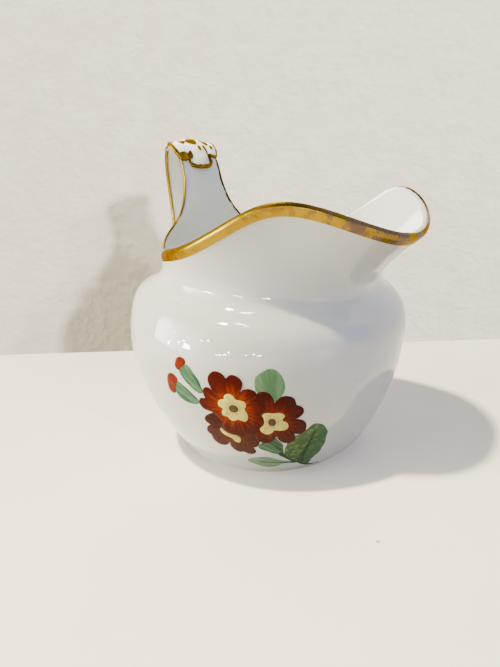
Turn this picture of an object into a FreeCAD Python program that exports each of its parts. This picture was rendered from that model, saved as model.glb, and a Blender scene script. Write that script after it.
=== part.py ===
import FreeCAD, Part
import math
import os

from FreeCAD import Placement, Rotation, Vector

# Porcelain cream jug: a globular pot with a wavy flared rim and pouring lip, on a turned foot
# ring, with a high ribbon handle, a leaf moulded over the handle's bend, and gilt lines.
# Millimetres.  +Z is up, the pouring lip points along +X and the handle along -X.
# Angles go round the jug's own upright axis: 0 at the lip, 180 at the handle.

doc = FreeCAD.newDocument("cream_jug")

# ---------------------------------------------------------------- driving sizes
SIZES = [
    ("axis_offset", -4.35, "where the jug's upright axis stands along the frame's X"),
    ("belly_radius", 46.5, "widest radius of the globular body"),
    ("belly_height", 43.0, "height of the widest place"),
    ("base_radius", 31.0, "radius the body's curve would have at the floor"),
    ("waist_height", 59.2, "mean height of the narrowest ring of the neck"),
    ("waist_tilt", 4.0, "how much lower that ring is at the lip, and higher at the handle"),
    ("waist_radius", 36.0, "mean radius of that ring"),
    ("waist_forward", 3.0, "how much wider the ring is towards the lip"),
    ("shoulder_drop", 7.6, "the shoulder starts this far below the waist"),
    ("wall", 2.6, "wall of the pot"),
    ("floor_height", 4.8, "height of the inside floor"),
    ("foot_height", 2.2, "height of the turned foot ring"),
    ("foot_radius", 29.8, "outer radius of the foot ring where it stands"),
    ("foot_flare", 0.5, "how much wider the ring is where it meets the pot"),
    ("foot_width", 3.4, "width of the foot ring"),
    ("lip_reach", 56.0, "reach of the pouring lip from the axis"),
    ("lip_height", 71.8, "height of the pouring lip"),
    ("crest_angle", 40.0, "angle of each crest of the wavy rim"),
    ("crest_height", 83.4, "height of each crest"),
    ("root_angle", 141.0, "angle where the rim turns up into the strap"),
    ("root_height", 66.6, "height of the rim there"),
    ("strap_thick", 2.6, "thickness of the handle's strap"),
    ("strap_wide", 8.2, "half width of the strap's front near its top"),
    ("strap_narrow", 5.5, "half width of the strap down its back"),
    ("strap_top", 103.4, "top of the strap's bend"),
    ("leaf_thick", 1.9, "crown of the leaf moulding"),
    ("leaf_half", 10.0, "half width of the leaf"),
    ("gilt_thick", 0.22, "modelled thickness of the gilding"),
    ("gilt_band", 1.8, "depth of the gilt band below the rim"),
]
sheet = doc.addObject("Spreadsheet::Sheet", "sizes")
for row, (alias, value, note) in enumerate(SIZES, start=1):
    sheet.set("A%d" % row, alias)
    sheet.set("B%d" % row, str(value))
    sheet.set("C%d" % row, note)
    sheet.setAlias("B%d" % row, alias)
doc.recompute()


def size(alias):
    """A driving size, read back from the sheet."""
    return float(sheet.get(alias))


# ---------------------------------------------------------------- smooth skins
def drawn_in(row, closed):
    """Control points that bring a smooth cubic curve back through the row's own points."""
    last = len(row) - 1
    points = []
    for k, p in enumerate(row):
        if not closed and k in (0, last):
            points.append(p)
        else:
            points.append(p - (row[k - 1] - p * 2 + row[(k + 1) % len(row)]) * (1 / 6))
    return points


def skinned(rings):
    """A solid with one smooth side through closed rings of points, and its two ends flat."""
    count, levels = len(rings[0]), len(rings)
    rings = [drawn_in(ring, True) for ring in rings]
    columns = [drawn_in([ring[k] for ring in rings], False) for k in range(count)]
    side = Part.BSplineSurface()
    side.buildFromPolesMultsKnots(
        [[column[level] for column in columns] for level in range(levels)],
        [4] + [1] * (levels - 4) + [4], [1] * (count + 1),
        [float(k) for k in range(levels - 2)], [float(k) for k in range(count + 1)],
        False, True, 3, 3)
    faces = [side.toShape()]
    for end in (0.0, float(levels - 3)):
        faces.append(Part.Face(Part.Wire([side.uIso(end).toShape()])))
    return sound_solid(faces)


def sheet_through(rows):
    """A smooth open sheet through rows of points."""
    rows = [drawn_in(row, False) for row in rows]
    columns = [drawn_in([row[k] for row in rows], False) for k in range(len(rows[0]))]
    long, wide = len(rows), len(columns)
    surface = Part.BSplineSurface()
    surface.buildFromPolesMultsKnots(
        [[column[k] for column in columns] for k in range(long)],
        [4] + [1] * (long - 4) + [4], [4] + [1] * (wide - 4) + [4],
        [float(k) for k in range(long - 2)], [float(k) for k in range(wide - 2)],
        False, False, 3, 3)
    return surface


def film(inner, outer):
    """A thin solid between two rows-of-points sheets of one layout, with narrow straight sides."""
    under, over = sheet_through(inner), sheet_through(outer)
    long, wide = float(len(inner) - 3), float(len(inner[0]) - 3)
    faces = [under.toShape(), over.toShape()]
    for end in (0.0, long):
        faces.append(Part.makeRuledSurface(under.uIso(end).toShape(), over.uIso(end).toShape()))
    for end in (0.0, wide):
        faces.append(Part.makeRuledSurface(under.vIso(end).toShape(), over.vIso(end).toShape()))
    return sound_solid(faces)


def sound_solid(faces):
    """The solid that the faces close."""
    shell = Part.Shell(faces)
    shell.sewShape()
    solid = Part.Solid(Part.Shell(shell.Faces))
    if solid.Volume < 0:
        solid.reverse()
    return solid


def trimmed(blank, *others):
    """The blank with its neighbours cut away, without the crumbs that the cuts leave."""
    for other in others:
        blank = blank.cut(other)
    return max(blank.Solids, key=lambda piece: piece.Volume)


def hermite(start, start_dir, end, end_dir, t):
    """The point at t on a cubic curve with the two ends and end directions given."""
    weights = ((1 + 2 * t) * (1 - t) ** 2, t * (1 - t) ** 2, t * t * (3 - 2 * t), t * t * (t - 1))
    return tuple(sum(w * v for w, v in zip(weights, values))
                 for values in zip(start, start_dir, end, end_dir))


def polar(angle, radius, height):
    """A point from its angle round the jug's axis, radius and height."""
    turn = math.radians(angle)
    return Vector(radius * math.cos(turn), radius * math.sin(turn), height)


# ---------------------------------------------------------------- the pot
# The rim from the lip back to the strap: angle, radius, height, flare from upright in degrees.
HALF_RIM = [
    (0.0, size("lip_reach"), size("lip_height"), 52.0),
    (20.0, 52.8, 77.4, 46.0),
    (size("crest_angle"), 45.8, size("crest_height"), 38.0),
    (60.0, 41.2, 77.8, 30.0),
    (80.0, 38.4, 72.6, 22.0),
    (100.0, 35.6, 70.4, 16.0),
    (120.0, 33.8, 68.7, 11.0),
    (size("root_angle"), 34.3, size("root_height"), 8.0),
    (160.0, 34.0, size("root_height"), 5.0),
    (180.0, 33.4, size("root_height"), 2.0),
]
RIM = HALF_RIM + [(360.0 - station[0],) + station[1:] for station in HALF_RIM[-2:0:-1]]
BELLY_LEVELS = [size("foot_height"), 5.0, 9.0, 14.0, 20.0, 26.0, 32.0, 38.0, 43.5]
SHOULDER_STEPS = [0.0, 0.4, 0.72]
NECK_STEPS = [0.0, 0.2, 0.4, 0.58, 0.74, 0.86, 0.94, 1.0]


def belly_radius(height, turn=0.0):
    """Radius of the globular body; its shoulder is fuller towards the handle."""
    widest, level = size("belly_radius"), size("belly_height")
    if height < level:
        return widest - (widest - size("base_radius")) * ((level - height) / level) ** 1.9
    return widest - (0.026 + 0.014 * math.cos(turn)) * (height - level) ** 2


def outline(station):
    """The pot's outside at one rim station, foot to rim: (radius, height)s and normals."""
    angle, rim_radius, rim_height, flare = station
    turn, lean = math.radians(angle), math.radians(flare)
    half = size("wall") / 2
    waist = (size("waist_radius") + size("waist_forward") * math.cos(turn) + 0.8 * math.cos(2 * turn),
             size("waist_height") - size("waist_tilt") * math.cos(turn) + 1.4 * math.sin(turn) ** 2)
    level = waist[1] - size("shoulder_drop")
    shoulder = (belly_radius(level, turn), level)
    rim = (rim_radius - half * math.sin(lean), rim_height - half * math.cos(lean))
    rise = rim[1] - waist[1]
    points = [(belly_radius(z), z) for z in BELLY_LEVELS]
    points += [hermite(shoulder, (-5.0, 9.0), waist, (-1.5, 8.0), t) for t in SHOULDER_STEPS]
    points += [hermite(waist, (-0.1 * rise, 0.9 * rise), rim,
                       (1.3 * rise * math.sin(lean), 1.3 * rise * math.cos(lean)), t)
               for t in NECK_STEPS]
    normals = []
    for a, b in zip([points[0]] + points[:-1], points[1:] + [points[-1]]):
        run = math.hypot(b[0] - a[0], b[1] - a[1])
        normals.append(((b[1] - a[1]) / run, (a[0] - b[0]) / run))
    normals[-1] = (math.cos(lean), -math.sin(lean))
    return points, normals


def lip_turn(point, normal, radius, degrees):
    """A point on the rim's rounded top, turned from the outside (0) over to the inside (180)."""
    half, a = size("wall") / 2, math.radians(degrees)
    return (point[0] + normal[0] * (radius * math.cos(a) - half) - normal[1] * radius * math.sin(a),
            point[1] + normal[1] * (radius * math.cos(a) - half) + normal[0] * radius * math.sin(a))


def pot_shape():
    """Up the outside, over the rounded rim and down the inside to the floor."""
    wall, floor = size("wall"), size("floor_height")
    floor_radius = belly_radius(floor) - wall
    outlines = []
    for station in RIM:
        points, normals = outline(station)
        rim = [lip_turn(points[-1], normals[-1], wall / 2, a) for a in (30, 60, 90, 120, 150)]
        inside = [(p[0] - n[0] * wall, p[1] - n[1] * wall) for p, n in zip(points, normals)]
        inside = [p for p in inside if p[1] > floor + 2.0]
        bottom = [(floor_radius - 4.0, floor + 0.6), (floor_radius - 9.0, floor)]
        outlines.append(points + rim + inside[::-1] + bottom)
    return skinned([[polar(station[0], *points[k]) for station, points in zip(RIM, outlines)]
                    for k in range(len(outlines[0]))])


# ---------------------------------------------------------------- the handle's strap
# Its route in the jug's plane of symmetry, from the back of the rim up, over the bend and down
# to the shoulder: x, z, half width, how far its edges stand forward of its middle.
STRAP = [
    (-32.15, 65.2, 20.2, 6.0), (-32.6, 68.0, 20.6, 5.2), (-32.0, 71.2, 20.0, 4.8),
    (-31.4, 74.4, 18.2, 5.2), (-30.7, 77.6, 15.2, 5.4), (-30.0, 80.6, 12.2, 4.3),
    (-29.4, 84.2, 10.1, 3.0), (-29.0, 88.6, 8.7, 1.8), (-29.1, 93.0, size("strap_wide"), 1.2),
    (-29.9, 97.4, 8.0, 0.5), (-31.9, 100.8, 7.8, 0.0),
    (-35.0, size("strap_top") - size("strap_thick") / 2, 7.4, 0.0),
    (-38.1, 100.7, 6.9, 0.0), (-40.0, 97.2, 6.3, 0.0), (-40.8, 91.0, 5.8, 0.0),
    (-40.8, 84.0, size("strap_narrow"), 0.0), (-40.5, 77.0, size("strap_narrow"), 0.0),
    (-40.2, 70.0, 5.8, 0.0), (-40.4, 64.0, 6.4, 0.0), (-41.4, 60.0, 7.0, 0.0),
    (-42.4, 57.4, 7.4, -0.2), (-43.2, 55.4, 7.3, -0.6),
]
STRAP_TURNS = [0, 24, 46, 66, 82, 98, 114, 134, 156, 180, 204, 226, 246, 262, 278, 294, 314, 336]


def facing(route, k):
    """The way out of a ribbon's face at station k of a route that starts with x and z."""
    a, b = route[max(k - 1, 0)], route[min(k + 1, len(route) - 1)]
    return Vector(b[1] - a[1], 0, a[0] - b[0]).normalize()


def strap_section(k, turns=STRAP_TURNS, gilt=0.0):
    """A flat section with round edges across the strap; its two ends are thinned to enter the pot."""
    x, z, half, bow = STRAP[k]
    face = facing(STRAP, k)
    thick = size("strap_thick") / 2 * (0.55 if k in (0, len(STRAP) - 1) else 1.0)
    points = []
    for turn in turns:
        c, s = math.cos(math.radians(turn)), math.sin(math.radians(turn))
        depth = math.copysign(abs(s) ** 0.6, s) * (thick + gilt)
        points.append(Vector(x, (half + gilt) * c, z) + face * (depth + bow * c * c))
    return points


def strap_shape(pot):
    """The ribbon of clay, cut to sit on the pot's rim and shoulder."""
    return trimmed(skinned([strap_section(k) for k in range(len(STRAP))]), pot)


# ---------------------------------------------------------------- the leaf
# It lies over the strap's bend, back to front, and ends in a tongue: x, z, half width.
LEAF = [
    (-39.4, 100.0, 3.4), (-38.0, 101.7, 5.0), (-36.2, 103.1, 6.4), (-34.0, 103.5, 7.8),
    (-31.9, 102.8, 9.3), (-30.2, 101.2, size("leaf_half")), (-29.1, 99.2, 9.2), (-28.4, 97.2, 5.2),
    (-28.0, 95.5, 4.3), (-27.8, 93.9, 2.8),
]
LEAF_DROOP = 0.08


def leaf_section(k, turns=range(0, 360, 30), gilt=0.0):
    """A crowned crescent across the leaf, thin at its margin."""
    x, z, half = LEAF[k]
    crown = size("leaf_thick") * (0.75 if k in (0, len(LEAF) - 1) else 1.0)
    points = []
    for turn in turns:
        c, s = math.cos(math.radians(turn)), math.sin(math.radians(turn))
        rise = ((crown if s > 0 else 0.5) + gilt) * s - LEAF_DROOP * half * c * c
        points.append(Vector(x, (half + gilt) * c, z) + facing(LEAF, k) * rise)
    return points


def leaf_shape(strap):
    """The leaf moulding, cut to sit on the strap."""
    return trimmed(skinned([leaf_section(k) for k in range(len(LEAF))]), strap)


# ---------------------------------------------------------------- the gilding
def below_rim(points, normals, depth, out):
    """The point that lies depth down the pot's outside from its rim, and out from its surface."""
    k, left = len(points) - 1, depth
    while left > math.dist(points[k], points[k - 1]):
        left -= math.dist(points[k], points[k - 1])
        k -= 1
    t = left / math.dist(points[k], points[k - 1])
    p = [a + (b - a) * t for a, b in zip(points[k], points[k - 1])]
    n = [a + (b - a) * t for a, b in zip(normals[k], normals[k - 1])]
    return (p[0] + n[0] * out, p[1] + n[1] * out)


def rim_gilding_shape():
    """The film over the rim's outer side and top, from strap root round the lip to strap root."""
    band, half, root = size("gilt_band"), size("wall") / 2, size("root_angle")
    inner, outer = [], []
    for station in sorted(RIM, key=lambda s: (s[0] + 180.0) % 360.0):
        if root < station[0] < 360.0 - root:
            continue
        points, normals = outline(station)
        for rows, gilt in ((inner, 0.0), (outer, size("gilt_thick"))):
            row = [below_rim(points, normals, band * part, gilt) for part in (1.0, 0.66, 0.33, 0.0)]
            row += [lip_turn(points[-1], normals[-1], half + gilt, a) for a in (30, 60, 90)]
            rows.append([polar(station[0], *p) for p in row])
    return film(inner, outer)


def strap_gilding_shape(side, first, last):
    """The line on the strap's edge at one side (1 left, -1 right), from station to station."""
    turns = [90 - side * (90 - a) for a in (-22, -14, -5, 3, 10)]
    stations = range(first, last + 1)
    return film([strap_section(k, turns) for k in stations],
                [strap_section(k, turns, size("gilt_thick")) for k in stations])


def leaf_gilding_shape(strap):
    """The line round the leaf's margin: a strip down each side and the gilt end of the tongue."""
    skin, stations = size("gilt_thick"), range(len(LEAF))
    pieces = []
    for turns in ((-15, 0, 15, 32), (195, 180, 165, 148)):
        pieces.append(film([leaf_section(k, turns) for k in stations],
                           [leaf_section(k, turns, skin) for k in stations]))
    last = len(LEAF) - 1
    outline = Part.BSplineCurve()
    outline.interpolate(leaf_section(last), PeriodicFlag=True)
    down = Vector(LEAF[last][0] - LEAF[last - 1][0], 0, LEAF[last][1] - LEAF[last - 1][1]).normalize()
    tip = Part.Face(Part.Wire([outline.toShape()])).extrude(down * (2 * skin))
    return Part.makeCompound(pieces + [trimmed(tip, strap)])


# ---------------------------------------------------------------- the objects
def shaped_object(label, shape):
    """A free-form solid as a named object that stands on the jug's axis."""
    obj = doc.addObject("Part::Feature", label)
    obj.Label = label
    obj.Shape = shape
    obj.Placement = Placement(Vector(size("axis_offset"), 0, 0), Rotation())
    obj.setExpression(".Placement.Base.x", "sizes.axis_offset")
    return obj


def foot_ring_object():
    """A turned ring: a shallow cone with a round hole."""
    cone = doc.addObject("Part::Cone", "foot_blank")
    cone.setExpression("Radius1", "sizes.foot_radius")
    cone.setExpression("Radius2", "sizes.foot_radius + sizes.foot_flare")
    cone.setExpression("Height", "sizes.foot_height")
    hole = doc.addObject("Part::Cylinder", "foot_hole")
    hole.setExpression("Radius", "sizes.foot_radius - sizes.foot_width")
    hole.setExpression("Height", "sizes.foot_height")
    ring = doc.addObject("Part::Cut", "foot_ring")
    ring.Label = "foot_ring"
    ring.Base, ring.Tool = cone, hole
    ring.Placement = Placement(Vector(size("axis_offset"), 0, 0), Rotation())
    ring.setExpression(".Placement.Base.x", "sizes.axis_offset")
    return ring


pot = pot_shape()
strap = strap_shape(pot)
nodes = [
    shaped_object("jug_body", pot),
    foot_ring_object(),
    shaped_object("handle_strap", strap),
    shaped_object("thumb_rest_leaf", leaf_shape(strap)),
    shaped_object("rim_gilding", rim_gilding_shape()),
    shaped_object("leaf_gilding", leaf_gilding_shape(strap)),
]
for name, side in (("right", -1), ("left", 1)):
    nodes.append(shaped_object("strap_gilding_front_" + name, strap_gilding_shape(side, 1, 10)))
    nodes.append(shaped_object("strap_gilding_back_" + name, strap_gilding_shape(side, 12, 19)))
doc.recompute()

# ---------------------------------------------------------------- check and write
os.makedirs("parts", exist_ok=True)
for obj in doc.Objects:
    if {"Invalid", "Error"} & set(obj.State):
        raise RuntimeError("%s did not build: %s" % (obj.Label, obj.State))
for node in nodes:
    shape = node.Shape
    if shape.isNull() or not shape.isValid() or not shape.Solids:
        raise RuntimeError("%s is not a sound solid" % node.Label)
    shape.exportStep("parts/%s.step" % node.Label)
    print("%-28s %9.2f mm3" % (node.Label, shape.Volume))
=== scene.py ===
import math

import bpy
from mathutils import Matrix, Vector
from mathutils.bvhtree import BVHTree


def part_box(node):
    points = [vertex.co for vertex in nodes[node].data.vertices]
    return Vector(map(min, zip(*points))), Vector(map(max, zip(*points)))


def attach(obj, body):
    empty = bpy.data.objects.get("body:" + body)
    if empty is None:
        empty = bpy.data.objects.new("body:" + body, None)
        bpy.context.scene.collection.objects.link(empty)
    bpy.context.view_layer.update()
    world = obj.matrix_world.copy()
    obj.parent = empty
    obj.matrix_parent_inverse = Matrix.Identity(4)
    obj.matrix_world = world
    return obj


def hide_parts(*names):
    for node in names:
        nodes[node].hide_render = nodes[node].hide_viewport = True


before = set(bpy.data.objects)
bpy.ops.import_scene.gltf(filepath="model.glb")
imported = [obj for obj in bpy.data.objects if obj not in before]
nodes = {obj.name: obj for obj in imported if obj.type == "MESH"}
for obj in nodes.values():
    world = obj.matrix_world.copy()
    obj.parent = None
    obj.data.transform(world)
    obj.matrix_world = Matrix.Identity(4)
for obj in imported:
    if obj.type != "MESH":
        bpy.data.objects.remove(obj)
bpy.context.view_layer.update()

MM = 0.001
foot_low, foot_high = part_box("foot_ring")
AXIS_X = (foot_low[0] + foot_high[0]) / 2

# ------------------------------------------------------------------ pot and handle
# One porcelain casting under a clear glaze: the globular pot with its wavy rim, and the strap
# handle luted on with slip, so that no joint shows.


def put_down():
    """Leaves edit mode with nothing selected."""
    if bpy.context.object and bpy.context.object.mode != "OBJECT":
        bpy.ops.object.mode_set(mode="OBJECT")
    bpy.ops.object.select_all(action="DESELECT")


def hold(*pieces):
    """Selects just these pieces, the first one active."""
    put_down()
    for piece in pieces:
        piece.select_set(True)
    bpy.context.view_layer.objects.active = pieces[0]
    return pieces[0]


def copy_of_node(name):
    """A separate copy of a CAD node's mesh, its loose triangles merged."""
    piece = nodes[name].copy()
    piece.data = piece.data.copy()
    piece.parent = None
    piece.matrix_world = Matrix.Identity(4)
    bpy.context.scene.collection.objects.link(piece)
    hold(piece)
    bpy.ops.object.mode_set(mode="EDIT")
    bpy.ops.mesh.select_all(action="SELECT")
    bpy.ops.mesh.remove_doubles(threshold=0.002 * MM)
    put_down()
    return piece


def finish_modifiers(piece):
    """Applies every modifier of a piece, in order."""
    hold(piece)
    for name in [modifier.name for modifier in piece.modifiers]:
        bpy.ops.object.modifier_apply(modifier=name)


def joined(name, pieces):
    """Joins the pieces into one object of that name."""
    piece = hold(*pieces)
    if len(pieces) > 1:
        bpy.ops.object.join()
    piece.name = name
    return piece


pot = joined("glazed_pot", [copy_of_node("jug_body"), copy_of_node("handle_strap")])
casting = pot.modifiers.new("one_casting", "REMESH")
casting.mode = "VOXEL"
casting.voxel_size = 0.86 * MM
flow = pot.modifiers.new("glaze_flow", "SMOOTH")
flow.factor, flow.iterations = 0.5, 5
finish_modifiers(pot)
bpy.ops.object.shade_smooth()
pot_faces = BVHTree.FromPolygons([v.co for v in pot.data.vertices],
                                 [p.vertices[:] for p in pot.data.polygons])


class Finish:
    """A fresh material, or another node tree, with short ways to add nodes and link them."""

    def __init__(self, name=None, tree=None, results=None):
        if name:
            self.material = bpy.data.materials.new(name)
            self.material.use_nodes = True
            tree = self.material.node_tree
            results = tree.nodes["Principled BSDF"].inputs
        self.tree, self.results = tree, results

    def feed(self, socket, value):
        """Gives an input a plain value, or a link from another node's output."""
        if isinstance(value, bpy.types.NodeSocket):
            self.tree.links.new(value, socket)
        else:
            socket.default_value = value

    def link(self, output, name):
        """Links an output to the shader, or to what the tree gives out."""
        self.tree.links.new(output, self.results[name])

    def set(self, **values):
        """Constants on the shader's own sockets; _ stands for a space."""
        for name, value in values.items():
            self.results[name.replace("_", " ")].default_value = value

    def add(self, kind, **settings):
        """A node, its settings, and its inputs given as in_NAME, a value or a socket."""
        node = self.tree.nodes.new("ShaderNode" + kind)
        inputs = {key[3:]: value for key, value in settings.items() if key.startswith("in_")}
        for key, value in settings.items():
            if not key.startswith("in_"):
                setattr(node, key, value)
        for key, value in inputs.items():
            self.feed(node.inputs[int(key) if key.isdigit() else key.replace("_", " ")], value)
        return node

    def seat(self):
        """The point of the piece itself, in metres."""
        return self.add("TexCoord").outputs["Object"]

    def noise(self, where, scale, detail=2.0, roughness=0.5):
        """Cloudy noise from 0 to 1, so many clouds to a metre."""
        return self.add("TexNoise", in_Vector=where, in_Scale=scale, in_Detail=detail,
                        in_Roughness=roughness).outputs["Fac"]

    def relief(self, height, strength, depth):
        """The surface's normal, raised by a height of that depth in metres."""
        return self.add("Bump", in_Strength=strength, in_Distance=depth,
                        in_Height=height).outputs["Normal"]

    def mix(self, factor, one, two, blend="MIX"):
        """Colour one turning to two as the factor goes from 0 to 1."""
        node = self.add("Mix", data_type="RGBA", blend_type=blend)
        for number, value in ((0, factor), (6, one), (7, two)):
            self.feed(node.inputs[number], value)
        return node.outputs[2]

    def steps(self, value, low, high, at_low=0.0, at_high=1.0):
        """The value remapped, smooth and clamped, from low..high to at_low..at_high."""
        node = self.add("MapRange", interpolation_type="SMOOTHSTEP", in_Value=value,
                        in_From_Min=low, in_From_Max=high, in_To_Min=at_low, in_To_Max=at_high)
        return node.outputs["Result"]

    def maths(self, operation, one, two):
        """Arithmetic on two values."""
        return self.add("Math", operation=operation, in_0=one, in_1=two).outputs[0]

    def place(self, effect, **values):
        """The outputs of a shared effect, placed in this tree with its own values."""
        node = self.add("Group", node_tree=effect.tree)
        for name, value in values.items():
            self.feed(node.inputs[name], value)
        return node.outputs


def shared_effect(name, inputs, outputs):
    """An empty node group with named inputs (with their values) and outputs, as a Finish."""
    group = bpy.data.node_groups.new(name, "ShaderNodeTree")
    for socket, value in inputs.items():
        made = group.interface.new_socket(socket, in_out="INPUT", socket_type="NodeSocketFloat")
        made.default_value = value
    for socket, kind in outputs.items():
        group.interface.new_socket(socket, in_out="OUTPUT", socket_type="NodeSocket" + kind)
    effect = Finish(tree=group, results=group.nodes.new("NodeGroupOutput").inputs)
    effect.given = group.nodes.new("NodeGroupInput").outputs
    return effect


# The glaze ran while it was molten: broad shallow ripples, with finer orange peel on them.
glaze_flow = shared_effect("glaze_flow", {"Ripple": 0.25, "Peel": 0.03},
                           {"Normal": "Vector", "Pooling": "Float"})
seat = glaze_flow.seat()
broad = glaze_flow.noise(seat, 55.0, 1.0)
fine = glaze_flow.noise(seat, 420.0)
height = glaze_flow.maths("ADD", glaze_flow.maths("MULTIPLY", broad, glaze_flow.given["Ripple"]),
                          glaze_flow.maths("MULTIPLY", fine, glaze_flow.given["Peel"]))
glaze_flow.link(glaze_flow.relief(height, 0.35, 0.6 * MM), "Normal")
glaze_flow.link(glaze_flow.steps(broad, 0.35, 0.7), "Pooling")

porcelain = Finish("glazed_porcelain")
flowing = porcelain.place(glaze_flow, Ripple=0.30, Peel=0.02)
porcelain.link(porcelain.mix(flowing["Pooling"], (0.80, 0.805, 0.775, 1), (0.77, 0.785, 0.75, 1)),
               "Base Color")
porcelain.link(flowing["Normal"], "Normal")
porcelain.set(Roughness=0.05, IOR=1.53)


def dress(piece, finish):
    """Gives a piece its finish in place of any other."""
    piece.data.materials.clear()
    piece.data.materials.append(finish.material)


dress(pot, porcelain)
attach(pot, "root")
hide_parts("jug_body", "handle_strap")

# ------------------------------------------------------------------ foot ring
# The ring that the pot was turned to stand on. Its foot was wiped free of glaze before firing,
# and the bare porcelain is darker towards its top, where it meets the pot's wall: partly dirt in
# the grain, partly painted shade in that joint.
foot = nodes["foot_ring"]
wiped = Finish("foot_porcelain")
seat = wiped.seat()
grain = wiped.noise(seat, 900.0, 4.0)
level = wiped.add("SeparateXYZ", in_0=seat).outputs["Z"]
# Darker towards the ring's top, in patches of grain: painted shade of the joint with the pot,
# partly dirt.
joint_shade_and_dirt = wiped.maths("MULTIPLY", wiped.steps(level, 1.2 * MM, 2.2 * MM), wiped.steps(grain, 0.3, 0.6))
wiped.link(wiped.mix(joint_shade_and_dirt, (0.74, 0.66, 0.56, 1), (0.30, 0.24, 0.19, 1)), "Base Color")
wiped.link(wiped.steps(grain, 0.2, 0.8, 0.45, 0.7), "Roughness")
wiped.link(wiped.relief(grain, 0.3, 0.1 * MM), "Normal")
dress(foot, wiped)

# ------------------------------------------------------------------ leaf thumb rest
# A leaf pressed in a mould and laid over the strap's bend, where the thumb rests: a tongue
# down the front between two side lobes, with grooves between them, under the same glaze.

# The route of its middle over the bend, as mm behind or before the pot's axis and mm up, and
# the point of it that is the crest.
LEAF_ROUTE = [(-39.3, 99.6), (-38.0, 101.1), (-36.2, 102.3), (-34.0, 102.7), (-31.9, 102.2),
              (-30.2, 100.9), (-29.1, 99.2), (-28.5, 97.2), (-28.2, 95.4), (-28.0, 93.8),
              (-27.9, 92.6)]
CREST = 3
# Its relief, in mm from its middle.
TONGUE_WIDTH = 3.6
GROOVE_AT, GROOVE_WIDTH = 4.7, 0.75
LOBE_AT, LOBE_WIDTH = 7.0, 1.8
LEAF_THICKNESS = 1.15
# Its margin, flattened: mm across and mm down the front from the crest.
LEAF_OUTLINE = [
    (0.0, -6.4), (2.4, -5.7), (4.4, -4.0), (6.0, -2.2), (7.9, -0.8), (9.1, 1.0), (9.6, 3.0),
    (9.5, 5.0), (9.0, 7.0), (8.2, 8.4), (6.9, 8.7), (5.8, 7.8), (5.1, 7.6), (5.2, 8.6), (5.3, 9.8),
    (4.7, 10.9), (3.3, 11.6), (1.5, 11.9), (-0.6, 11.9), (-2.6, 11.7), (-4.2, 11.0), (-5.0, 10.0),
    (-4.9, 9.0), (-4.6, 8.1), (-5.4, 8.5), (-6.6, 8.9), (-7.8, 8.6), (-8.7, 7.6), (-9.2, 6.0),
    (-9.6, 4.2), (-9.5, 2.2), (-8.7, 0.2), (-7.2, -1.4), (-5.6, -2.9), (-3.8, -4.8), (-2.0, -6.0),
]


def drawn_patch(name, outline, cell, rim):
    """A flat patch in a smooth closed outline, cut into cells, with its rim marked; all in mm."""
    line = bpy.data.curves.new(name, "CURVE")
    line.dimensions, line.fill_mode, line.resolution_u = "2D", "NONE", 4
    spline = line.splines.new("BEZIER")
    spline.bezier_points.add(len(outline) - 1)
    spline.use_cyclic_u = True
    for point, (u, v) in zip(spline.bezier_points, outline):
        point.co = (u, v, 0)
        point.handle_left_type = point.handle_right_type = "AUTO"
    patch = bpy.data.objects.new(name, line)
    bpy.context.scene.collection.objects.link(patch)
    hold(patch)
    bpy.ops.object.convert(target="MESH")
    bpy.ops.object.mode_set(mode="EDIT")
    bpy.ops.mesh.select_all(action="SELECT")
    bpy.ops.mesh.edge_face_add()
    bpy.ops.mesh.inset(thickness=rim)
    for axis in (0, 1):
        low, high = min(p[axis] for p in outline), max(p[axis] for p in outline)
        cells = int((high - low) / cell) + 1
        for k in range(1, cells):
            bpy.ops.mesh.select_all(action="SELECT")
            at, across = [0, 0, 0], [0, 0, 0]
            at[axis], across[axis] = low + (high - low) * k / cells, 1
            bpy.ops.mesh.bisect(plane_co=at, plane_no=across, threshold=0.0001)
    put_down()
    mesh = patch.data
    if sum(face.normal.z for face in mesh.polygons) < 0:
        mesh.flip_normals()
    uses = {}
    for face in mesh.polygons:
        for key in face.edge_keys:
            uses[key] = uses.get(key, 0) + 1
    mark = mesh.attributes.new("rim", "FLOAT", "POINT")
    for key, count in uses.items():
        if count == 1:
            mark.data[key[0]].value = mark.data[key[1]].value = 1.0
    return patch


def moved(patch, where, turned=False):
    """Moves each point of a patch to where(u, v) says, in metres; turned faces its other side."""
    for vertex in patch.data.vertices:
        vertex.co = where(vertex.co.x, vertex.co.y)
    if turned:
        patch.data.flip_normals()
    return patch


def thickened(patch, thickness):
    """Gives a laid sheet its thickness, towards what it lies on, and smooth faces."""
    body = patch.modifiers.new("thickness", "SOLIDIFY")
    body.thickness, body.offset = thickness, -1.0
    finish_modifiers(patch)
    bpy.ops.object.shade_smooth()
    return patch


def easy(value, low, high):
    """0 below low, 1 above high, and smooth between."""
    t = min(max((value - low) / (high - low), 0.0), 1.0)
    return t * t * (3 - 2 * t)


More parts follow.
